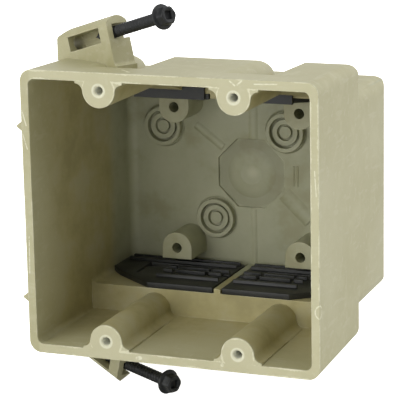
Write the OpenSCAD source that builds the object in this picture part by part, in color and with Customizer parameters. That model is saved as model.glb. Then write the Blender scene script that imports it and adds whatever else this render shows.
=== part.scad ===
// Two-gang device box with angled mounting screws and snap-in cable clamps.
// Front rim lies on Y = 0, the box runs back along +Y, +Z is up.
// The origin is the centre of the four device screw holes.

/* [Body] */
// Width across the front rim
body_w = 101.6; // [99:0.2:105]
// Height across the front rim
body_h = 95.2; // [94:0.2:98]
// Depth from the front rim to the back
body_d = 79.4; // [77:0.2:86]
// Wall thickness
wall = 2.8; // [2.5:0.1:3]
// Lean of each side wall in degrees
side_draft = 1.4; // [0.8:0.1:1.6]
// Lean of the top and bottom of the front section in degrees
top_lean = 1.2; // [0.8:0.1:1.4]
// Half height of the rear section
rear_half_h = 37.2; // [36.8:0.1:38]

/* [Device holes] */
// Hole spacing across the two gangs
gang_pitch = 46.04; // [45.6:0.02:46.4]
// Hole spacing up and down
hole_rise = 83.34; // [83:0.02:83.8]
// Device hole diameter
hole_d = 2.7; // [2.4:0.1:3]
// Radius of the screw ridges
ridge_r = 5.6; // [5.2:0.1:6]

/* [Mounting screws] */
// Thread diameter
screw_d = 4; // [3.8:0.05:4.2]
// Length under the head
screw_len = 35; // [33:0.5:36]
// Washer flange diameter
flange_d = 8.4; // [8:0.1:8.6]
// Radial clearance in the bracket's guide ring
screw_fit = 0.06; // [0.03:0.01:0.09]

/* [Cable clamps] */
// Clamp plate thickness
clamp_t = 2; // [1.8:0.1:2.2]
// Gap left for the cable behind each tongue
cable_gap = 5.4; // [5:0.1:6]
// Clearance of each clamp lug in its window
lug_fit = 0.1; // [0.05:0.05:0.2]

/* [Hidden] */
$fn = 48;

hw = body_w / 2;
hh = body_h / 2;
lean = tan(side_draft);
drop = tan(top_lean);
hx = gang_pitch / 2;
hz = hole_rise / 2;
eps = 0.5;

// Front section
rim_corner_r = 4;
rim_inner_r = 2.2;
shoulder_y = 44.4;
shoulder_r = 3.8;
shoulder_fillet = 1.5;
inner_front_h = hh - wall - 0.2;
inner_rear_h = inner_front_h - 0.8;
riser_y = shoulder_y - wall;

// Rear section
rear_edge_r = 4;
rear_corner_r = 5;
rear_in_h = rear_half_h - 2.6;
rear_in_r = 2;
back_in_y = body_d - wall;
back_in_r = 3;

// Screw ridges
ridge_fillet = 2.6;
ridge_top = hh - drop * shoulder_y - 1;
ridge_rear_y = riser_y + 0.5;
hole_depth = 20;
hole_mouth_d = 4;
hole_mouth_depth = 0.5;

// Cable grooves in the top
groove_in_y = 12;
groove_w = 11.8;
groove_left_x = -25.1;
groove_round_r = 6.6;
groove_low_z = rear_half_h + 0.6;
groove_step = 0.2;
groove_round_lift = 0.15;
groove_far_y = shoulder_y + 14;
hump_side = 2.6;

// Rear posts
post_x = hx;
post_z = 25.3;
post_r = 5.55;
post_front_y = 62.2;
post_gap = 2.3;
post_hole_d = 3.6;
post_hole_depth = 11;

// Moulded marks on the back wall
pad_gang_dx = 9.8;
pad_dz = 16.2;
pad_drop = 0.5;
pad_r = 6.9;
pad_inner_r = 5.6;
pad_h = 2;
pad_sink = 0.5;
moat_r = 7.2;
moat_top_r = 7.8;
step_r = 4.6;
step_inner_r = 3;
step_sink = -1.1;
disc_r = 2.1;
disc_sink = -0.8;
dish_r = 12.3;
dish_sink = 0.9;
cone_r = 9;
cone_top_r = 1.2;
cone_h = 1.4;
// Low bands, each as start x and z, end x and z, width and height
bands = [[-20.6, 16.6, -10.4, 8.9, 3, 0.5], [12.4, -6.5, 21.8, -15.8, 5.5, 0.7],
    [1, 12.6, 1, 34.2, 3.4, 0.5], [0.9, -12.6, 0.9, -34.2, 2.2, 0.35],
    [15.9, -3.6, 15.9, 3.6, 0.8, 0.25], [17.3, -3.6, 17.3, 3.6, 0.8, 0.25]];

// Screw brackets, in a frame with X along the screw and Y to the back
brk_at = [-25.42, 22.48, 57.75];
brk_plan = 26.1;
brk_rise = 16.4;
brk_front = 4.5;
brk_back = 4.2;
brk_top = 5.3;
brk_foot_r = 1.5;
brk_foot_top = hh - 0.6;
brk_left_x = -22.9;
brk_step_x = -27.2;
brk_step = 3.15;
brk_base_z = hh - 2;
brk_foot_z = hh - 5;
brk_side_x = -(hw + 0.8);
win_from = -21.5;
win_to = -4.6;
ring_to = -3;
slot_h = 2.5;
slot_w = 2.3;
low_at = [-25.42, 22.48, -56.5];
low_rise = 3.97;
low_bevel = [[-4.5, 5.66], [4.2, 1.1]];
upper_seat = 22.6;
lower_seat = 20.1;

// Screws
flange_t = 1;
hex_af = 5.6;
hex_h = 2.9;
drive_w = 2.8;
drive_depth = 1.5;
thread_pitch = 1.4;
thread_depth = 0.45;
point_len = 5;
neck_len = 1.4;
thread_turns = floor((screw_len - point_len - neck_len) / thread_pitch);

// Clamps
clamp_gap = 0.1;
clamp_in_x = 1.7;
clamp_out_x = hw - wall - lean * body_d - 0.3;
clamp_front_y = riser_y;
clamp_rear_y = back_in_y - back_in_r - 0.2;
clamp_nose_x = 26;
clamp_cut_x = 41.6;
clamp_cut_y = clamp_front_y + 12.2;
clamp_tip_y = clamp_front_y + 16.9;
win_x0 = 9;
win_x1 = 35;
win_y0 = shoulder_y + 5.6;
win_y1 = clamp_rear_y - 6.4;
tongue_gap = 1.1;
tongue_root_y = win_y0 + 2.5;
tongue_end_y = win_y1 - cable_gap;
notch_y = clamp_front_y + 14.6;
notch_w = 2.4;
lug_h = 2;
lug_w = 3;
rib_w = 1.2;
rib_h = 1.1;
post_flat_z = rear_in_h - clamp_t - rib_h - post_gap;

module along_y(y0, y1) {
    translate([0, y1, 0])
        rotate([90, 0, 0])
            linear_extrude(height = y1 - y0)
                children();
}

module along_x(x0, x1) {
    translate([x0, 0, 0])
        rotate([90, 0, 90])
            linear_extrude(height = x1 - x0)
                children();
}

module round_rect(x0, x1, z0, z1, r) {
    translate([x0 + r, z0])
        square([x1 - x0 - 2 * r, z1 - z0]);
    translate([x0, z0 + r])
        square([x1 - x0, z1 - z0 - 2 * r]);
    for (x = [x0 + r, x1 - r]) {
        for (z = [z0 + r, z1 - r]) {
            translate([x, z])
                circle(r = r);
        }
    }
}

// A rounded bar whose two sides lean in towards the back
module leaning_bar(half, z0, z1, r, y0, y1) {
    over = 12;
    intersection() {
        translate([half, 0, 0])
            rotate([0, 0, side_draft])
                along_y(y0 - 4, y1 + 4)
                    round_rect(-2 * half - over, 0, z0, z1, r);
        translate([-half, 0, 0])
            rotate([0, 0, -side_draft])
                along_y(y0 - 4, y1 + 4)
                    round_rect(0, 2 * half + over, z0, z1, r);
        translate([-half - over, y0, z0 - 1])
            cube([2 * half + 2 * over, y1 - y0, z1 - z0 + 2]);
    }
}

// Plan of a box with leaning sides and two rounded rear corners
module plan_shape(half, y0, y1, r) {
    cx = half - lean * (y1 - r) - r / cos(side_draft);
    cy = y1 - r;
    tx = cx + r * cos(side_draft);
    ty = cy + r * sin(side_draft);
    polygon([[-half + lean * y0, y0], [half - lean * y0, y0], [tx, ty], [cx, y1],
        [-cx, y1], [-tx, ty]]);
    for (s = [-1, 1]) {
        translate([s * cx, cy])
            circle(r = r);
    }
}

// Upper half of the front section's side view, with a rounded rear edge
module front_side() {
    cy = shoulder_y - shoulder_r;
    cz = hh - cy * drop - shoulder_r / cos(top_lean);
    polygon([[-1, -1], [-1, hh + drop],
        [cy + shoulder_r * sin(top_lean), cz + shoulder_r * cos(top_lean)],
        [shoulder_y, cz], [shoulder_y, -1]]);
    translate([cy, cz])
        circle(r = shoulder_r);
}

// A long bar whose right side and top lean in and meet in a rounded edge
module front_bar() {
    over = 20;
    rotate([-top_lean, 0, 0])
        translate([hw, 0, 0])
            rotate([0, 0, side_draft])
                along_y(-8, shoulder_y + 8)
                    round_rect(-body_w - over, 0, -over, hh * cos(top_lean), rim_corner_r);
}

module front_half() {
    intersection() {
        front_bar();
        mirror([1, 0, 0])
            front_bar();
        along_x(-hw - 1, hw + 1)
            front_side();
        translate([-hw - 1, 0, 0])
            cube([body_w + 2, shoulder_y + 1, hh + 2]);
    }
}

// Side view of the rear section
module rear_side() {
    cy = body_d - rear_edge_r;
    cz = rear_half_h - rear_edge_r;
    translate([shoulder_y - 6, -rear_half_h])
        square([cy - shoulder_y + 6, 2 * rear_half_h]);
    translate([shoulder_y - 6, -cz])
        square([body_d - shoulder_y + 6, 2 * cz]);
    for (s = [-1, 1]) {
        translate([cy, s * cz])
            circle(r = rear_edge_r);
    }
}

module shoulder_web() {
    for (s = [0, 1]) {
        mirror([0, s]) {
            difference() {
                translate([shoulder_y - 1, rear_half_h - 1])
                    square([shoulder_fillet + 1, shoulder_fillet + 1]);
                translate([shoulder_y + shoulder_fillet, rear_half_h + shoulder_fillet])
                    circle(r = shoulder_fillet);
            }
        }
    }
}

module outer_shell() {
    front_half();
    mirror([0, 0, 1])
        front_half();
    intersection() {
        leaning_bar(hw, -rear_half_h, rear_half_h, rear_corner_r, shoulder_y - 6, body_d);
        along_x(-hw, hw)
            rear_side();
        translate([0, 0, -hh])
            linear_extrude(height = body_h)
                plan_shape(hw, 20, body_d, rear_edge_r);
    }
    intersection() {
        along_x(-hw, hw)
            shoulder_web();
        translate([0, 0, -hh])
            linear_extrude(height = body_h)
                plan_shape(hw - 1, 20, body_d, rear_edge_r);
    }
}

module cavity() {
    intersection() {
        leaning_bar(hw - wall, -inner_front_h, inner_front_h, rim_inner_r, -2, riser_y);
        along_x(-hw, hw)
            polygon([[-2, -inner_front_h], [riser_y, -inner_rear_h],
                [riser_y, inner_rear_h], [-2, inner_front_h]]);
    }
    intersection() {
        leaning_bar(hw - wall, -rear_in_h, rear_in_h, rear_in_r, riser_y - 2, back_in_y);
        translate([0, 0, -hh])
            linear_extrude(height = body_h)
                plan_shape(hw - wall, 20, back_in_y, back_in_r);
    }
}

module ridge_shape() {
    reach = ridge_top - hz;
    wall_z = inner_rear_h - hz;
    intersection() {
        circle(r = ridge_r);
        translate([-ridge_r - 1, -ridge_r - 1])
            square([2 * ridge_r + 2, ridge_r + 1 + reach]);
    }
    translate([-ridge_r, 0])
        square([2 * ridge_r, reach]);
    for (s = [0, 1]) {
        mirror([s, 0]) {
            difference() {
                translate([ridge_r - 0.2, wall_z - ridge_fillet])
                    square([ridge_fillet + 0.2, reach - wall_z + ridge_fillet]);
                translate([ridge_r + ridge_fillet, wall_z - ridge_fillet])
                    circle(r = ridge_fillet);
            }
        }
    }
}

module ridges() {
    for (x = [-hx, hx]) {
        for (s = [0, 1]) {
            mirror([0, 0, s])
                along_y(0, ridge_rear_y)
                    translate([x, hz])
                        ridge_shape();
        }
    }
}

module ridge_holes() {
    for (x = [-hx, hx]) {
        for (z = [-hz, hz]) {
            translate([x, hole_depth, z])
                rotate([90, 0, 0])
                    cylinder(d = hole_d, h = hole_depth + 1, $fn = 32);
            translate([x, hole_mouth_depth, z])
                rotate([90, 0, 0])
                    cylinder(d1 = hole_d, d2 = hole_mouth_d + hole_mouth_depth,
                        h = 2 * hole_mouth_depth, $fn = 32);
        }
    }
}

// Slope of each cable groove, as a side view
module groove_side() {
    polygon([[groove_in_y, hh - groove_in_y * drop - groove_step], [shoulder_y, groove_low_z],
        [groove_far_y, groove_low_z], [groove_far_y, hh + 20], [groove_in_y, hh + 20]]);
}

// Front view of a groove, with its left shoulder rounded over
module groove_front(x) {
    low = groove_low_z - 4;
    turn_z = hh - groove_round_r + groove_round_lift;
    difference() {
        translate([x - groove_round_r, low])
            square([groove_w + groove_round_r, hh + 10 - low]);
        translate([x - groove_round_r - 1, low - 1])
            square([groove_round_r + 1, turn_z - low + 1]);
        translate([x - groove_round_r, turn_z])
            circle(r = groove_round_r);
    }
}

module grooves() {
    for (i = [0, 1]) {
        x = groove_left_x + i * gang_pitch;
        intersection() {
            along_x(x - groove_round_r, x + groove_w)
                groove_side();
            translate([0, 0, hh])
                rotate([-top_lean, 0, 0])
                    translate([0, 0, -hh])
                        along_y(groove_in_y - 2, groove_far_y)
                            groove_front(x);
        }
    }
}

// Inside bulge that keeps the wall thick under each groove
module groove_humps() {
    for (i = [0, 1]) {
        x = groove_left_x + i * gang_pitch;
        along_x(x - hump_side, x + groove_w + hump_side)
            polygon([[groove_in_y, hh - groove_in_y * drop - wall],
                [riser_y + 1, groove_low_z - wall], [riser_y + 1, ridge_top],
                [groove_in_y, ridge_top]]);
    }
}

module posts() {
    for (x = [-post_x, post_x]) {
        for (s = [0, 1]) {
            mirror([0, 0, s]) {
                along_y(post_front_y, back_in_y + 1) {
                    translate([x, post_z]) {
                        intersection() {
                            circle(r = post_r);
                            translate([-post_r - 1, -post_r - 1])
                                square([2 * post_r + 2, post_r + 1 + post_flat_z - post_z]);
                        }
                        translate([-post_r, 0])
                            square([2 * post_r, post_flat_z - post_z]);
                    }
                }
            }
        }
    }
}

module post_holes() {
    for (x = [-post_x, post_x]) {
        for (z = [-post_z, post_z]) {
            translate([x, post_front_y + post_hole_depth, z])
                rotate([90, 0, 0])
                    cylinder(d = post_hole_d, h = post_hole_depth + 1, $fn = 32);
        }
    }
}

// A ring standing from the floor of a pad's well up to the given depth
module ring(r_out, r_in, top) {
    difference() {
        translate([0, pad_sink + eps, 0])
            rotate([90, 0, 0])
                cylinder(r = r_out, h = pad_sink + eps - top, $fn = 40);
        translate([0, pad_sink + 1, 0])
            rotate([90, 0, 0])
                cylinder(r = r_in, h = pad_sink + 2 - top, $fn = 40);
    }
}

module at_pads() {
    for (s = [-1, 1]) {
        for (x = [-hx, hx]) {
            translate([s * (x - pad_gang_dx), back_in_y, s * pad_dz - pad_drop])
                children();
        }
    }
}

module pads() {
    at_pads() {
        ring(pad_r, pad_inner_r, -pad_h);
        ring(step_r, step_inner_r, step_sink);
        translate([0, pad_sink + eps, 0])
            rotate([90, 0, 0])
                cylinder(r = disc_r, h = pad_sink + eps - disc_sink, $fn = 32);
    }
}

module pad_wells() {
    at_pads()
        translate([0, pad_sink, 0])
            rotate([90, 0, 0]) {
                cylinder(r1 = moat_r, r2 = moat_top_r, h = pad_sink, $fn = 40);
                cylinder(r = moat_r - 0.2, h = pad_sink + 1, $fn = 40);
            }
}

// Eight-sided dish with a shallow cone in its middle
module dish() {
    corner = dish_r / cos(22.5);
    difference() {
        along_y(back_in_y - 1, back_in_y + dish_sink)
            polygon([for (a = [22.5:45:337.5]) [corner * cos(a), corner * sin(a)]]);
        translate([0, back_in_y + dish_sink, 0])
            rotate([90, 0, 0])
                cylinder(r1 = cone_r, r2 = cone_top_r, h = cone_h);
    }
}

module low_bands() {
    for (b = bands) {
        run = norm([b[2] - b[0], b[3] - b[1]]);
        bow = (b[4] * b[4] / 4 + b[5] * b[5]) / (2 * b[5]);
        translate([b[0], back_in_y + bow - b[5], b[1]]) {
            rotate([0, -atan2(b[3] - b[1], b[2] - b[0]), 0]) {
                intersection() {
                    rotate([0, 90, 0])
                        cylinder(r = bow, h = run);
                    translate([0, -bow - 0.1, -b[4]])
                        cube([run, b[5] + 0.7, 2 * b[4]]);
                }
            }
        }
    }
}

module at_upper(rise) {
    translate(brk_at)
        rotate([0, -rise, -brk_plan])
            children();
}

module at_lower() {
    mirror([0, 0, 1])
        translate([low_at[0], low_at[1], -low_at[2]])
            rotate([0, -low_rise, -brk_plan])
                children();
}

// Outline of the bracket seen square to its front face
module bracket_side() {
    base = brk_foot_z - brk_at[2];
    top_x = -brk_top * sin(brk_rise);
    top_z = brk_top * cos(brk_rise);
    foot_x = top_x + (top_z - base) * tan(brk_rise);
    left_z = top_z - (top_x - brk_left_x) * tan(brk_rise);
    turn_z = brk_foot_top + brk_foot_r - brk_at[2];
    turn_x = foot_x + (brk_foot_r - (turn_z - base) * sin(brk_rise)) / cos(brk_rise);
    polygon([[-34, base], [foot_x, base], [top_x, top_z], [brk_left_x, left_z],
        [brk_step_x, left_z - brk_step], [-34, left_z - brk_step]]);
    difference() {
        polygon([[foot_x - 1, base],
            [turn_x - brk_foot_r * cos(brk_rise), turn_z - brk_foot_r * sin(brk_rise)],
            [turn_x, turn_z], [turn_x, base]]);
        translate([turn_x, turn_z])
            circle(r = brk_foot_r);
    }
}

// Section square to the screw, round above the screw's axis
module bracket_section() {
    low = -26;
    intersection() {
        circle(r = brk_top);
        translate([-brk_front, -brk_top - 1])
            square([brk_front + brk_back, 2 * brk_top + 2]);
    }
    translate([-brk_front, low])
        square([brk_front + brk_back, -low]);
}

// foot_z is where the bracket ends over the groove, sunk into its floor
module bracket(foot_z) {
    intersection() {
        at_upper(0)
            along_y(-brk_front, brk_back)
                bracket_side();
        at_upper(brk_rise)
            along_x(-44, 12)
                bracket_section();
        union() {
            translate([brk_side_x, 0, brk_base_z])
                cube([60, 60, 30]);
            translate([groove_left_x - 0.4, 0, foot_z])
                cube([30, 60, 30]);
        }
    }
}

module bracket_channel() {
    translate([win_from, -brk_front - 2, -slot_h - 0.2])
        cube([win_to - win_from, brk_front + 2 + slot_w, 2 * slot_h]);
    translate([ring_to, -slot_w, -slot_h])
        cube([6, slot_w + brk_back + 2, 2 * slot_h]);
}

// Slanted bevel across the outer corner of the lower guide ring
module lower_bevel() {
    far = low_bevel[0][1] + 6;
    slope = (low_bevel[1][1] - low_bevel[0][1]) / (low_bevel[1][0] - low_bevel[0][0]);
    along_x(win_to, 14)
        polygon([low_bevel[0] + [-3, -3 * slope], low_bevel[1] + [3, 3 * slope],
            [low_bevel[1][0] + 3, far], [low_bevel[0][0] - 3, far]]);
}

module screw_way(seat) {
    tip = seat - screw_len;
    rotate([0, 90, 0]) {
        translate([0, 0, win_to - 1])
            cylinder(r = screw_d / 2 + screw_fit, h = 12);
        translate([0, 0, tip - seat - 4])
            cylinder(r = screw_d / 2 + 0.4, h = win_to - tip + seat + 3.4);
    }
}

module nubs() {
    for (z = [-28.9, 28.7]) {
        along_y(0.3, 2)
            polygon([[-hw + 1, z - 2.4], [-hw + 1, z + 2.4], [-hw - 1.9, z + 0.3], [-hw - 1.9, z - 0.3]]);
    }
}

module cable_windows() {
    for (sx = [0, 1]) {
        for (sz = [0, 1]) {
            mirror([sx, 0, 0])
                mirror([0, 0, sz])
                    translate([win_x0, win_y0, rear_in_h - 1])
                        cube([win_x1 - win_x0, win_y1 - win_y0, wall + 4]);
        }
    }
}

module middle_rib() {
    for (s = [0, 1]) {
        mirror([0, 0, s])
            translate([-clamp_in_x + 0.5, riser_y, rear_in_h - 1.6])
                cube([2 * clamp_in_x - 1, back_in_y - riser_y + 1, 2]);
    }
}

module box_body() {
    color([0.66, 0.64, 0.48]) {
        difference() {
            union() {
                difference() {
                    union() {
                        difference() {
                            outer_shell();
                            cavity();
                            pad_wells();
                            dish();
                        }
                        ridges();
                        groove_humps();
                    }
                    grooves();
                }
                posts();
                pads();
                low_bands();
                middle_rib();
                bracket(brk_foot_z);
                mirror([0, 0, 1])
                    bracket(brk_base_z);
                nubs();
            }
            ridge_holes();
            post_holes();
            cable_windows();
            at_upper(brk_rise)
                bracket_channel();
            mirror([0, 0, 1])
                at_upper(brk_rise) {
                    bracket_channel();
                    lower_bevel();
                }
            at_upper(brk_rise)
                screw_way(upper_seat);
            at_lower()
                screw_way(lower_seat);
        }
    }
}

// Lower left clamp, lying on the floor of the rear section
module clamp_outline() {
    polygon([[-clamp_in_x, clamp_front_y], [-clamp_nose_x, clamp_front_y],
        [-clamp_cut_x, clamp_cut_y], [-clamp_out_x, clamp_tip_y],
        [-clamp_out_x, clamp_rear_y], [-clamp_in_x, clamp_rear_y]]);
}

module clamp_slots() {
    translate([-win_x1, tongue_end_y])
        square([win_x1 - win_x0, cable_gap]);
    for (x = [-win_x1, -(win_x0 + win_x1 + tongue_gap) / 2, -win_x0 - tongue_gap]) {
        translate([x, tongue_root_y])
            square([tongue_gap, win_y1 - tongue_root_y]);
    }
    translate([-clamp_in_x - notch_w, notch_y])
        square([notch_w + 1, notch_w]);
}

module clamp_ribs() {
    front_run = clamp_nose_x - clamp_in_x - 1;
    rear_run = clamp_out_x - clamp_in_x - 3;
    for (y = [win_y0 - 0.4, tongue_end_y - 5.4, tongue_end_y - rib_w]) {
        translate([-clamp_nose_x, y])
            square([front_run, rib_w]);
    }
    for (y = [win_y1 + 0.8, clamp_rear_y - 2]) {
        translate([-clamp_out_x + 2, y])
            square([rear_run, rib_w]);
    }
}

module clamp() {
    floor_z = -rear_in_h;
    color([0.07, 0.07, 0.08]) {
        difference() {
            intersection() {
                union() {
                    translate([0, 0, floor_z])
                        linear_extrude(height = clamp_t)
                            clamp_outline();
                    translate([0, 0, floor_z + clamp_t - 0.2])
                        linear_extrude(height = rib_h + 0.2)
                            clamp_ribs();
                }
                leaning_bar(hw - wall - clamp_gap, -rear_in_h, rear_in_h, rear_in_r,
                    clamp_front_y - 1, back_in_y);
            }
            translate([0, 0, floor_z - 1])
                linear_extrude(height = clamp_t + rib_h + 2)
                    clamp_slots();
        }
        for (x = [-win_x1 + lug_fit, -win_x0 - lug_w - lug_fit]) {
            translate([x, win_y0 + lug_fit, floor_z - lug_h])
                cube([lug_w, tongue_root_y - win_y0 - lug_fit - 0.3, lug_h + 0.4]);
        }
    }
}

module cable_clamp_lower_left() {
    clamp();
}

module cable_clamp_lower_right() {
    mirror([1, 0, 0])
        clamp();
}

module cable_clamp_upper_left() {
    mirror([0, 0, 1])
        clamp();
}

module cable_clamp_upper_right() {
    mirror([0, 0, 1])
        mirror([1, 0, 0])
            clamp();
}

// Half section of the threaded shaft, tip at zero
module shaft_profile() {
    r = screw_d / 2;
    core = r - thread_depth;
    run = thread_turns * thread_pitch;
    teeth = [for (i = [0:thread_turns - 1]) for (p = [[core, 0.1], [r, 0.45], [r, 0.65], [core, 1]])
        [p[0], point_len + (i + p[1]) * thread_pitch]];
    polygon(concat([[0, 0], [core, point_len]], teeth,
        [[core, point_len + run], [core, screw_len + 0.4], [0, screw_len + 0.4]]));
}

module screw(seat) {
    color([0.1, 0.1, 0.1]) {
        translate([seat - screw_len, 0, 0]) {
            rotate([0, 90, 0]) {
                rotate_extrude($fn = 48)
                    shaft_profile();
                difference() {
                    translate([0, 0, screw_len]) {
                        cylinder(d = flange_d, h = flange_t);
                        cylinder(r = hex_af / sqrt(3), h = flange_t + hex_h, $fn = 6);
                    }
                    translate([-drive_w / 2, -drive_w / 2, screw_len + flange_t + hex_h - drive_depth])
                        cube([drive_w, drive_w, drive_depth + 1]);
                }
            }
        }
    }
}

module upper_mounting_screw() {
    at_upper(brk_rise)
        screw(upper_seat);
}

module lower_mounting_screw() {
    at_lower()
        screw(lower_seat);
}

box_body();
cable_clamp_upper_left();
cable_clamp_upper_right();
cable_clamp_lower_left();
cable_clamp_lower_right();
upper_mounting_screw();
lower_mounting_screw();
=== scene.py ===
import bmesh
import bpy
import math
from mathutils import Matrix, Vector


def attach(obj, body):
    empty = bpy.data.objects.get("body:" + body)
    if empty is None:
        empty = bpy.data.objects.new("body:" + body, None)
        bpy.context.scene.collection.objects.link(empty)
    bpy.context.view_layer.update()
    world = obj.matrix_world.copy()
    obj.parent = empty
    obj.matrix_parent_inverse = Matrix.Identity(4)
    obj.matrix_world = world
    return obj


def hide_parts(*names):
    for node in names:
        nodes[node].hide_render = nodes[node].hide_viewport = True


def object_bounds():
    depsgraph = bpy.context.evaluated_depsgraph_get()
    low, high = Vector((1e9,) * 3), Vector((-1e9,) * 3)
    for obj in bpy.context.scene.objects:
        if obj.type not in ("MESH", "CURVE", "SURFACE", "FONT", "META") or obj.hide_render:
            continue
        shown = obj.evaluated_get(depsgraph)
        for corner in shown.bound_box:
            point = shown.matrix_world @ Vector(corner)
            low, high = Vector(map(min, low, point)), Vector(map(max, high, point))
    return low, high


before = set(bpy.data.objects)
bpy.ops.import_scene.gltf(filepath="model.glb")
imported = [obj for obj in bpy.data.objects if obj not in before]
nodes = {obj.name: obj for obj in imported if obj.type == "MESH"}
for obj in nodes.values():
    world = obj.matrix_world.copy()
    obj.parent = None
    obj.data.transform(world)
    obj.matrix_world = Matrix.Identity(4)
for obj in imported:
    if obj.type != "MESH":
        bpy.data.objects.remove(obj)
cad_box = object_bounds()
MM = 0.001

# Sizes taken from part.scad, in millimetres
HOLE_X, HOLE_Z = 23.02, 41.67
RIM_OUTER = (50.8, 47.6, 4)
RIM_INNER = (48, 44.6, 2.2)
CAVITY = (47.9, 44.5, 2.2)
RIDGE_R = 5.6
UPPER_AT = (-25.42, 22.48, 57.75)
LOWER_AT = (-25.42, 22.48, -56.5)
UPPER_SEAT, LOWER_SEAT = 22.6, 20.1
PLAN, RISE, LOW_RISE = 26.1, 16.4, 3.97


# Small helpers for building node materials

class Tree:
    def __init__(self, name):
        self.material = bpy.data.materials.new(name)
        self.material.use_nodes = True
        self.tree = self.material.node_tree
        self.shader = self.tree.nodes["Principled BSDF"]
        co = self.tree.nodes.new("ShaderNodeTexCoord")
        self.place = co.outputs["Object"]
        split = self.add("ShaderNodeSeparateXYZ", self.place)
        self.x, self.y, self.z = split.outputs

    def add(self, kind, *inputs, **settings):
        n = self.tree.nodes.new(kind)
        for key, value in settings.items():
            setattr(n, key, value)
        for i, value in enumerate(inputs):
            self.put(n.inputs[i], value)
        return n

    def put(self, socket, value):
        if value is None:
            return
        if isinstance(value, bpy.types.NodeSocket):
            self.tree.links.new(value, socket)
        else:
            socket.default_value = value

    def math(self, what, a, b=None, c=None, clamp=False):
        n = self.add("ShaderNodeMath", a, b, c, operation=what, use_clamp=clamp)
        return n.outputs[0]

    def vec(self, what, a, b=None):
        n = self.add("ShaderNodeVectorMath", a, b, operation=what)
        return n.outputs["Value"] if what in ("LENGTH", "DISTANCE", "DOT_PRODUCT") else n.outputs[0]

    def xyz(self, a, b, c):
        return self.add("ShaderNodeCombineXYZ", a, b, c).outputs[0]

    # 1 where value is below low, 0 above high, smooth between
    def below(self, value, low, high):
        n = self.add("ShaderNodeMapRange", value, low, high, 1.0, 0.0, interpolation_type="SMOOTHSTEP")
        return n.outputs[0]

    def above(self, value, low, high):
        n = self.add("ShaderNodeMapRange", value, low, high, 0.0, 1.0, interpolation_type="SMOOTHSTEP")
        return n.outputs[0]

    def noise(self, scale, detail=3.0, rough=0.5, place=None, distortion=0.0):
        n = self.tree.nodes.new("ShaderNodeTexNoise")
        self.put(n.inputs["Vector"], place or self.place)
        n.inputs["Scale"].default_value = scale
        n.inputs["Detail"].default_value = detail
        n.inputs["Roughness"].default_value = rough
        n.inputs["Distortion"].default_value = distortion
        return n.outputs["Fac"]

    def stretched(self, scales, turn=(0, 0, 0)):
        n = self.add("ShaderNodeMapping", self.place)
        n.inputs["Scale"].default_value = scales
        n.inputs["Rotation"].default_value = turn
        return n.outputs[0]

    def mix(self, fac, a, b):
        n = self.tree.nodes.new("ShaderNodeMix")
        n.data_type = "RGBA"
        self.put(n.inputs[0], fac)
        self.put(n.inputs[6], a)
        self.put(n.inputs[7], b)
        return n.outputs[2]

    def both(self, *values):
        out = values[0]
        for v in values[1:]:
            out = self.math("MULTIPLY", out, v)
        return out

    def either(self, *values):
        out = values[0]
        for v in values[1:]:
            out = self.math("MAXIMUM", out, v)
        return out

    # Distance to the line from a to b, in metres
    def from_line(self, a, b):
        a, b = Vector(a), Vector(b)
        run = b - a
        off = self.vec("SUBTRACT", self.place, tuple(a))
        t = self.vec("DOT_PRODUCT", off, tuple(run / run.length_squared))
        t = self.math("ADD", t, 0.0, clamp=True)
        on = self.add("ShaderNodeVectorMath", tuple(run), operation="SCALE")
        self.put(on.inputs["Scale"], t)
        return self.vec("DISTANCE", off, on.outputs[0])

    def from_point(self, p):
        return self.vec("DISTANCE", self.place, tuple(p))

    # Signed distance in the XZ plane to a rounded rectangle about the Y axis, given
    # by its half width, half height and corner radius in millimetres
    def from_rect(self, rect):
        half_x, half_z, r = (v * MM for v in rect)
        ax = self.math("ABSOLUTE", self.x)
        az = self.math("ABSOLUTE", self.z)
        qx = self.math("MAXIMUM", self.math("SUBTRACT", ax, half_x - r), 0.0)
        qz = self.math("MAXIMUM", self.math("SUBTRACT", az, half_z - r), 0.0)
        return self.math("SUBTRACT", self.vec("LENGTH", self.xyz(qx, 0.0, qz)), r)

    # Distance in the XZ plane to the nearest device hole
    def from_holes(self):
        dx = self.math("SUBTRACT", self.math("ABSOLUTE", self.x), HOLE_X * MM)
        dz = self.math("SUBTRACT", self.math("ABSOLUTE", self.z), HOLE_Z * MM)
        return self.vec("LENGTH", self.xyz(dx, 0.0, dz))


def rgb(r, g, b):
    return (r, g, b, 1.0)


def turned(plan, rise):
    return Matrix.Rotation(math.radians(-plan), 4, "Z") @ Matrix.Rotation(math.radians(-rise), 4, "Y")


# Chips and scratches: from, to and radius in millimetres
SCRATCHES = [((21.9, 0, 46.9), (23.5, 0, 45.6), 0.30), ((24.4, 0, 45.9), (25.8, 0, 47.1), 0.34),
             ((17.7, 0, -45.5), (17.7, 0, -45.6), 0.7), ((-11.9, 0, -46.2), (-10.9, 0, -46.0), 0.8),
             ((-50.5, 0, 34.1), (-49.1, 0, 29.1), 0.26), ((-50.4, 0, 26.1), (-49.0, 0, 21.3), 0.22),
             ((-24.7, 15.0, 47.6), (-21.0, 11.2, 47.6), 0.28),
             ((-18.0, 8.0, 47.6), (-13.8, 3.8, 47.6), 0.5), ((49.4, 0, 20.0), (49.9, 0, 12.0), 0.22),
             ((-49.6, 0, -8.0), (-49.9, 0, -20.5), 0.22), ((30.0, 0, 46.3), (37.5, 0, 46.6), 0.25)]


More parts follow.
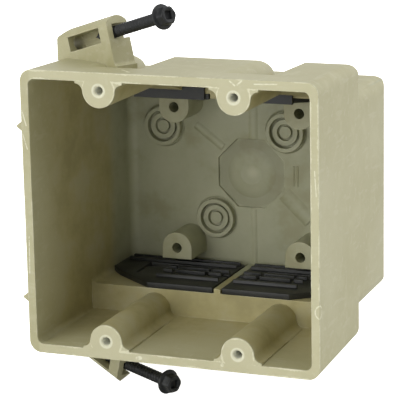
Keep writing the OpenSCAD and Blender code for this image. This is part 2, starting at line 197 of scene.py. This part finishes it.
def box_material():
    t = Tree("tan_polyester")
    p = t.shader
    hole = t.from_holes()

    # Colour: broad blotches, marbling and short glass-fibre flecks
    blotch = t.noise(26, 3)
    marble = t.noise(150, 4, 0.6, distortion=0.6)
    fibre_a = t.noise(420, 2, 0.5, t.stretched((1, 0.22, 1), (0.4, 0.2, 0.9)))
    fibre_b = t.noise(420, 2, 0.5, t.stretched((0.22, 1, 1), (0.9, 0.5, 0.3)))
    grain = t.noise(1500, 2, 0.6)
    colour = t.mix(t.above(blotch, 0.35, 0.65), rgb(0.395, 0.370, 0.205), rgb(0.435, 0.412, 0.248))
    colour = t.mix(t.both(t.above(marble, 0.42, 0.72), 0.5), colour, rgb(0.475, 0.455, 0.290))
    fibre = t.math("MAXIMUM", t.above(fibre_a, 0.60, 0.70), t.above(fibre_b, 0.60, 0.70))
    colour = t.mix(t.both(fibre, 0.28), colour, rgb(0.52, 0.50, 0.35))
    speck = t.above(grain, 0.62, 0.74)
    colour = t.mix(t.both(speck, 0.22), colour, rgb(0.26, 0.24, 0.13))

    # Painted light and shade: sheltered inner faces are painted warmer and darker for the shade and warm
    # bounce light inside the box, and the back wall is painted greyer for the open light it gets
    deep = t.above(t.y, 0.0565, 0.0655)
    inside = t.both(t.below(t.from_rect(CAVITY), -0.0006, 0.0001),
                    t.above(t.y, 0.0004, 0.0012), t.below(t.y, 0.0779, 0.0785))
    normal = t.add("ShaderNodeNewGeometry").outputs["Normal"]
    up = t.add("ShaderNodeSeparateXYZ", normal).outputs["Z"]
    rear_shell = t.both(t.above(t.math("ABSOLUTE", t.z), 0.0358, 0.0361), t.above(t.y, 0.0425, 0.0430))
    groove = t.both(t.above(t.z, 0.0400, 0.0405), t.above(up, 0.2, 0.5))
    inside = t.both(inside, t.math("SUBTRACT", 1.0, t.either(rear_shell, groove)))
    # painted shade and warm bounce light on the inner faces
    colour = t.mix(t.both(inside, t.math("SUBTRACT", 1.0, deep), 0.75), colour, rgb(0.40, 0.345, 0.150))
    # painted open light, greyer, on the back wall
    colour = t.mix(t.both(inside, deep, 0.85), colour, rgb(0.375, 0.385, 0.255))

    clouds = t.noise(48, 4, 0.65)
    colour = t.mix(t.both(inside, t.above(clouds, 0.46, 0.66), 0.35), colour, rgb(0.47, 0.465, 0.325))
    colour = t.mix(t.both(inside, t.below(clouds, 0.36, 0.52), 0.40), colour, rgb(0.25, 0.225, 0.105))

    # Centre dish: painted shade darkens its foot and a painted highlight lightens its cone
    wall = t.both(t.above(t.y, 0.0735, 0.0745), t.below(t.y, 0.0779, 0.0785))
    dish = t.vec("LENGTH", t.xyz(t.x, 0.0, t.z))
    # painted shade round the foot of the dish
    dish_foot_painted_shade = t.both(wall, t.above(dish, 0.0060, 0.0095), t.below(dish, 0.0118, 0.0130))
    colour = t.mix(t.both(dish_foot_painted_shade, 0.35), colour, rgb(0.22, 0.215, 0.13))
    # painted highlight on the cone
    cone_painted_highlight = t.both(wall, t.below(t.from_point((0.0006, 0.0752, 0.0005)), 0.0006, 0.0036))
    colour = t.mix(t.both(cone_painted_highlight, 0.6), colour, rgb(0.60, 0.60, 0.43))

    # Worn edges: pale where the rim, its inner edge and the ridges have rubbed
    outer = t.from_rect(RIM_OUTER)
    inner = t.from_rect(RIM_INNER)
    ridge = t.math("SUBTRACT", hole, RIDGE_R * MM)
    mouth = t.math("MAXIMUM", inner, t.math("MULTIPLY", ridge, -1.0))
    edge_out = t.vec("LENGTH", t.xyz(outer, t.y, 0.0))
    edge_in = t.vec("LENGTH", t.xyz(mouth, t.y, 0.0))
    patch = t.noise(95, 4, 0.65)
    fine = t.noise(700, 3, 0.7)
    reach = t.math("MULTIPLY_ADD", patch, 0.0025, -0.00108)
    reach = t.math("MULTIPLY_ADD", t.math("SUBTRACT", fine, 0.5), 0.0012, reach)
    rub_out = t.above(t.math("SUBTRACT", reach, edge_out), -0.00016, 0.00010)
    rub_in = t.above(t.math("SUBTRACT", reach, edge_in), -0.00010, 0.00014)
    # The left rim is rubbed less than the others
    left = t.below(t.x, -0.0480, -0.0470)
    worn = t.either(t.both(rub_out, 0.8), t.both(rub_in, 0.85))
    worn = t.both(worn, t.math("MULTIPLY_ADD", left, -0.62, 1.0))
    # The front face of the rim is also made paler as a whole, less on the left
    face = t.both(t.below(t.y, 0.0002, 0.0008), t.above(t.y, -0.004, -0.003))
    colour = t.mix(t.both(face, t.math("MULTIPLY_ADD", left, -0.35, 0.45)), colour, rgb(0.56, 0.535, 0.355))
    colour = t.mix(worn, colour, rgb(0.66, 0.64, 0.46))

    # Rubbed lines along every other edge, found where a rounded normal leaves the true one
    rounded = t.add("ShaderNodeBevel", 0.0006, samples=6).outputs[0]
    bend = t.math("SUBTRACT", 1.0, t.vec("DOT_PRODUCT", rounded, normal))
    rubbed = t.both(t.above(bend, 0.02, 0.14), t.above(patch, 0.43, 0.60), 0.6)
    colour = t.mix(rubbed, colour, rgb(0.64, 0.62, 0.43))

    # Chips and scratches on the rim and on the top in front of it
    marks = [t.from_line(tuple(v * MM for v in a), tuple(v * MM for v in b)) for a, b, _ in SCRATCHES]
    marks = [t.below(d, r * 0.6 * MM, r * MM) for d, (_, _, r) in zip(marks, SCRATCHES)]
    arc = t.math("ABSOLUTE", t.math("SUBTRACT", t.from_point((0.0516, 0, -0.0252)), 2.3 * MM))
    marks.append(t.below(arc, 0.12 * MM, 0.32 * MM))
    colour = t.mix(t.both(t.either(*marks), t.above(fine, 0.30, 0.55), 0.85), colour, rgb(0.72, 0.71, 0.54))

    # Pale rings round the device holes, grey inside them
    ring = t.both(t.above(hole, 1.3 * MM, 1.42 * MM), t.below(hole, 2.15 * MM, 2.6 * MM),
                  t.below(t.y, 0.0002, 0.0012))
    colour = t.mix(t.both(ring, 0.85), colour, rgb(0.70, 0.69, 0.52))
    bore = t.both(t.below(hole, 1.36 * MM, 1.48 * MM), t.above(t.y, 0.0004, 0.0009),
                  t.below(t.y, 0.020, 0.022))
    colour = t.mix(bore, colour, rgb(0.80, 0.80, 0.70))

    t.put(p.inputs["Base Color"], colour)
    rough = t.math("MULTIPLY_ADD", marble, 0.16, 0.40)
    t.put(p.inputs["Roughness"], rough)
    p.inputs["Specular IOR Level"].default_value = 0.5

    soft = t.add("ShaderNodeBevel", 0.00035, samples=6)
    orange = t.noise(1100, 2, 0.5)
    height = t.math("ADD", t.math("MULTIPLY", orange, 0.5), t.math("MULTIPLY", t.noise(160, 2), 1.2))
    bump = t.tree.nodes.new("ShaderNodeBump")
    bump.inputs["Strength"].default_value = 0.35
    bump.inputs["Distance"].default_value = 0.00008
    t.put(bump.inputs["Height"], height)
    t.put(bump.inputs["Normal"], soft.outputs[0])
    t.put(p.inputs["Normal"], bump.outputs[0])
    return t.material


def clamp_material():
    t = Tree("black_nylon")
    p = t.shader
    cloud = t.noise(140, 4, 0.6)
    grain = t.noise(1300, 3, 0.6)
    colour = t.mix(t.above(cloud, 0.42, 0.7), rgb(0.0105, 0.0115, 0.011), rgb(0.020, 0.021, 0.0175))
    dust = t.both(t.above(grain, 0.55, 0.75), t.above(cloud, 0.45, 0.6), 0.35)
    colour = t.mix(dust, colour, rgb(0.075, 0.072, 0.052))
    t.put(p.inputs["Base Color"], colour)
    t.put(p.inputs["Roughness"], t.math("MULTIPLY_ADD", cloud, 0.25, 0.30))
    soft = t.add("ShaderNodeBevel", 0.00025, samples=4)
    bump = t.tree.nodes.new("ShaderNodeBump")
    bump.inputs["Strength"].default_value = 0.3
    bump.inputs["Distance"].default_value = 0.00005
    t.put(bump.inputs["Height"], t.noise(900, 2))
    t.put(bump.inputs["Normal"], soft.outputs[0])
    t.put(p.inputs["Normal"], bump.outputs[0])
    return t.material


def screw_material():
    t = Tree("black_phosphate_steel")
    p = t.shader
    cloud = t.noise(260, 4, 0.6)
    grain = t.noise(2600, 2, 0.6)
    colour = t.mix(t.above(cloud, 0.4, 0.7), rgb(0.010, 0.011, 0.0115), rgb(0.022, 0.024, 0.024))
    colour = t.mix(t.both(t.above(grain, 0.58, 0.7), 0.5), colour, rgb(0.05, 0.053, 0.052))
    t.put(p.inputs["Base Color"], colour)
    p.inputs["Metallic"].default_value = 0.2
    t.put(p.inputs["Roughness"], t.math("MULTIPLY_ADD", grain, 0.25, 0.36))
    bump = t.tree.nodes.new("ShaderNodeBump")
    bump.inputs["Strength"].default_value = 0.3
    bump.inputs["Distance"].default_value = 0.00003
    t.put(bump.inputs["Height"], grain)
    t.put(p.inputs["Normal"], bump.outputs[0])
    return t.material


mats = {"box": box_material(), "clamp": clamp_material(), "screw": screw_material()}
for name, o in nodes.items():
    m = mats["box"] if name == "box_body" else mats["clamp"] if "clamp" in name else mats["screw"]
    for s in o.material_slots:
        s.material = m
    if not o.material_slots:
        o.data.materials.append(m)


# Screws with a real helical thread and a chamfered hex washer head

def smooth(t):
    t = min(1.0, max(0.0, t))
    return t * t * (3 - 2 * t)


def screw_piece(name, node, body, at, rise, seat):
    around = 48
    rows = 10
    pitch, crest, core = 1.4, 2.0, 1.55
    length, point = 35.0, 5.0
    verts, faces = [], []
    shape = [0.0, 0.10, 0.38, 0.8, 1.0, 1.0, 0.8, 0.38, 0.10, 0.0]
    turns = int(length / pitch) + 2

    def shaft(z, phase):
        base = core * min(1.0, max(0.02, z / point))
        k = phase % 1.0 * rows
        i = int(k) % rows
        f = k - int(k)
        tooth = shape[i] * (1 - f) + shape[(i + 1) % rows] * f
        fade = smooth((z - 0.8) / 2.5) * smooth((length - 1.2 - z) / 1.2)
        return base + (crest - core) * tooth * fade

    grid = {}
    for i in range(-rows, turns * rows + 1):
        for j in range(around):
            raw = (i / rows + j / around) * pitch
            z = min(length, max(0.0, raw))
            r = shaft(z, i / rows)
            a = 2 * math.pi * j / around
            grid[i, j] = len(verts)
            verts.append((r * math.cos(a), r * math.sin(a), z))
    for i in range(-rows, turns * rows):
        for j in range(around):
            if j < around - 1:
                quad = [grid[i, j], grid[i, j + 1], grid[i + 1, j + 1], grid[i + 1, j]]
            else:
                if i + 1 + rows > turns * rows:
                    continue
                quad = [grid[i, j], grid[i + rows, 0], grid[i + 1 + rows, 0], grid[i + 1, j]]
            zs = [verts[k][2] for k in quad]
            if max(zs) <= 0.0 or min(zs) >= length:
                continue
            faces.append(quad)

    # Head, as rings from the shaft outwards and over to the drive recess
    def hexa(r, cap):
        return lambda a: min(r / math.cos((a + math.pi / 6) % (math.pi / 3) - math.pi / 6), cap)

    def four(r, cap):
        return lambda a: min(r / math.cos((a + math.pi / 4) % (math.pi / 2) - math.pi / 4), cap)

    def disc(r):
        return lambda a: r

    top = length + 1.0
    head = top + 2.9
    af = 2.8
    rings = [(disc(1.55), length - 0.35), (disc(1.7), length - 0.12), (disc(2.0), length),
             (disc(3.9), length), (disc(4.12), length + 0.12), (disc(4.2), length + 0.35),
             (disc(4.2), length + 0.62), (disc(4.08), length + 0.82), (disc(3.75), top - 0.06),
             (hexa(af + 0.14, 3.45), top), (hexa(af, 3.22), top + 0.16), (hexa(af, 3.22), head - 0.62),
             (hexa(af, 3.10), head - 0.42), (hexa(af - 0.02, 2.96), head - 0.24),
             (hexa(af - 0.16, 2.78), head - 0.07), (disc(2.5), head), (disc(2.22), head - 0.02),
             (disc(2.05), head - 0.14), (four(1.5, 1.95), head - 0.22), (four(1.38, 1.82), head - 0.36),
             (four(1.34, 1.76), head - 1.5), (four(1.1, 1.4), head - 1.62), (disc(0.4), head - 1.7)]
    last = None
    for radius, z in rings:
        row = []
        for j in range(around):
            a = 2 * math.pi * j / around
            row.append(len(verts))
            verts.append((radius(a) * math.cos(a), radius(a) * math.sin(a), z))
        if last:
            for j in range(around):
                k = (j + 1) % around
                faces.append([last[j], last[k], row[k], row[j]])
        last = row
    faces.append(list(last))

    mesh = bpy.data.meshes.new(name)
    turn = turned(PLAN, rise) @ Matrix.Rotation(math.radians(90), 4, "Y")
    slide = Matrix.Translation((0, 0, seat - length))
    place = Matrix.Scale(MM, 4) @ Matrix.Translation(Vector(at)) @ turn @ slide
    mesh.from_pydata([tuple(place @ Vector(v)) for v in verts], [], faces)
    mesh.update()
    bm = bmesh.new()
    bm.from_mesh(mesh)
    bmesh.ops.remove_doubles(bm, verts=bm.verts, dist=2e-6)
    bmesh.ops.dissolve_degenerate(bm, dist=1e-6, edges=bm.edges)
    open_edges = [e for e in bm.edges if e.is_boundary]
    bmesh.ops.holes_fill(bm, edges=open_edges, sides=0)
    loose = [v for v in bm.verts if not v.link_faces]
    bmesh.ops.delete(bm, geom=loose, context="VERTS")
    bmesh.ops.recalc_face_normals(bm, faces=bm.faces)
    bm.to_mesh(mesh)
    bm.free()
    mesh.materials.append(mats["screw"])
    mesh.shade_smooth()
    mesh.set_sharp_from_angle(angle=math.radians(50))
    o = bpy.data.objects.new(name, mesh)
    bpy.context.collection.objects.link(o)
    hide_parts(node)
    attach(o, body)
    return o


# Clamps with rounded edges; the upper ones end in a lip that hangs over the shoulder

def clamp_piece(node, lip):
    bm = bmesh.new()
    bm.from_mesh(nodes[node].data)
    bmesh.ops.remove_doubles(bm, verts=bm.verts, dist=1e-6)
    if lip:
        x0, x1, y0, y1, z0, z1 = (v * MM for v in lip)
        corners = [bm.verts.new(p) for p in [(x0, y0, z0), (x1, y0, z0), (x1, y1, z0), (x0, y1, z0),
                                             (x0, y0, z1), (x1, y0, z1), (x1, y1, z1), (x0, y1, z1)]]
        for quad in ((0, 3, 2, 1), (4, 5, 6, 7), (0, 1, 5, 4), (1, 2, 6, 5), (2, 3, 7, 6), (3, 0, 4, 7)):
            bm.faces.new([corners[i] for i in quad])
    sharp = [e for e in bm.edges if len(e.link_faces) == 2 and e.calc_face_angle() > math.radians(35)]
    bmesh.ops.bevel(bm, geom=sharp, offset=0.28 * MM, offset_type="OFFSET", segments=3, profile=0.5,
                    affect="EDGES", clamp_overlap=True)
    bmesh.ops.dissolve_degenerate(bm, dist=1e-6, edges=bm.edges)
    bmesh.ops.recalc_face_normals(bm, faces=bm.faces)
    mesh = bpy.data.meshes.new(node + "_soft")
    bm.to_mesh(mesh)
    bm.free()
    mesh.materials.append(mats["clamp"])
    mesh.shade_smooth()
    mesh.set_sharp_from_angle(angle=math.radians(40))
    o = bpy.data.objects.new(node + "_soft", mesh)
    o.matrix_world = nodes[node].matrix_world.copy()
    bpy.context.collection.objects.link(o)
    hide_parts(node)
    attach(o, "box")


# Each lip is given as x, x, y, y, z, z in millimetres
clamp_piece("cable_clamp_upper_left", (-28.3, -2.8, 40.2, 41.5, 32.6, 36.8))
clamp_piece("cable_clamp_upper_right", (2.8, 28.3, 40.2, 41.5, 32.6, 36.8))
clamp_piece("cable_clamp_lower_left", None)
clamp_piece("cable_clamp_lower_right", None)

screw_piece("upper_screw_threaded", "upper_mounting_screw", "upper_screw", UPPER_AT, RISE, UPPER_SEAT)
screw_piece("lower_screw_threaded", "lower_mounting_screw", "lower_screw", LOWER_AT, -LOW_RISE, LOWER_SEAT)

# Camera, solved from the device hole pattern
YAW, PITCH, ROLL = 0.38316, 0.22955, -0.02012
SHIFT_MM = (-10.246, -7.424, 644.247)
FOCAL_PX = 2020.15
fwd = Vector((-math.sin(YAW) * math.cos(PITCH), math.cos(YAW) * math.cos(PITCH), -math.sin(PITCH)))
level = Vector((math.cos(YAW), math.sin(YAW), 0))
upright = level.cross(fwd)
cam_x = math.cos(ROLL) * level + math.sin(ROLL) * upright
cam_y = math.cos(ROLL) * upright - math.sin(ROLL) * level
place = -(SHIFT_MM[0] * cam_x + SHIFT_MM[1] * cam_y + SHIFT_MM[2] * fwd) / 1000
camera = bpy.data.objects.new("camera", bpy.data.cameras.new("camera"))
camera.data.sensor_width = 36
camera.data.lens = FOCAL_PX / 400 * 36
camera.data.clip_start = 0.01
camera.matrix_world = Matrix.Translation(place) @ Matrix((cam_x, cam_y, -fwd)).transposed().to_4x4()
bpy.context.collection.objects.link(camera)
scene = bpy.context.scene
scene.camera = camera
scene.view_settings.view_transform = "Standard"

# Plain studio light: wide soft lobes, given by azimuth from the front (positive to the
# right), elevation in degrees and strength, and a plain white floor and backdrop
LOBES = [(-150, 5, 0.79), (-60, 5, 0.22), (-25, 5, 3.03), (100, 5, 0.46), (150, 5, 1.16), (-25, 45, 1.35),
         (100, 45, 1.43), (150, 45, 0.61), (0, 85, 1.11), (180, 20, 0.45)]
world = bpy.data.worlds.new("studio")
world.use_nodes = True
wt = world.node_tree
sky = wt.nodes["Background"]
sky.inputs["Color"].default_value = (1, 1, 1, 1)


def sum_up(kind, a, b):
    n = wt.nodes.new("ShaderNodeMath")
    n.operation = kind
    for socket, value in zip(n.inputs, (a, b)):
        if isinstance(value, bpy.types.NodeSocket):
            wt.links.new(value, socket)
        else:
            socket.default_value = value
    return n.outputs[0]


around = wt.nodes.new("ShaderNodeTexCoord").outputs["Generated"]
total = 0.0
for azimuth, rise, strength in LOBES:
    a, e = math.radians(azimuth), math.radians(rise)
    dot = wt.nodes.new("ShaderNodeVectorMath")
    dot.operation = "DOT_PRODUCT"
    dot.inputs[1].default_value = (math.sin(a) * math.cos(e), -math.cos(a) * math.cos(e), math.sin(e))
    wt.links.new(around, dot.inputs[0])
    lobe = sum_up("POWER", sum_up("MAXIMUM", dot.outputs["Value"], 0.0), 7.0)
    total = sum_up("ADD", sum_up("MULTIPLY", lobe, strength), total)
wt.links.new(total, sky.inputs["Strength"])
path = wt.nodes.new("ShaderNodeLightPath").outputs["Is Camera Ray"]
seen = wt.nodes.new("ShaderNodeBackground")
seen.inputs["Color"].default_value = (1, 1, 1, 1)
pick = wt.nodes.new("ShaderNodeMixShader")
wt.links.new(path, pick.inputs[0])
wt.links.new(sky.outputs[0], pick.inputs[1])
wt.links.new(seen.outputs[0], pick.inputs[2])
wt.links.new(pick.outputs[0], wt.nodes["World Output"].inputs[0])
scene.world = world

floor_mesh = bpy.data.meshes.new("floor")
low = cad_box[0][2] - 0.0004
floor_mesh.from_pydata([(-6, -6, low), (6, -6, low), (6, 6, low), (-6, 6, low)], [], [(0, 1, 2, 3)])
floor = bpy.data.objects.new("floor", floor_mesh)
bpy.context.collection.objects.link(floor)
paint = Tree("pale_floor")
pale = paint.mix(paint.noise(3.0), rgb(0.93, 0.93, 0.93), rgb(0.96, 0.96, 0.955))
paint.put(paint.shader.inputs["Base Color"], pale)
paint.shader.inputs["Roughness"].default_value = 0.85
paint.shader.inputs["Specular IOR Level"].default_value = 0.1
paint.shader.inputs["Emission Color"].default_value = (1, 1, 1, 1)
camera_ray = paint.add("ShaderNodeLightPath").outputs["Is Camera Ray"]
paint.put(paint.shader.inputs["Emission Strength"], camera_ray)
floor_mesh.materials.append(paint.material)
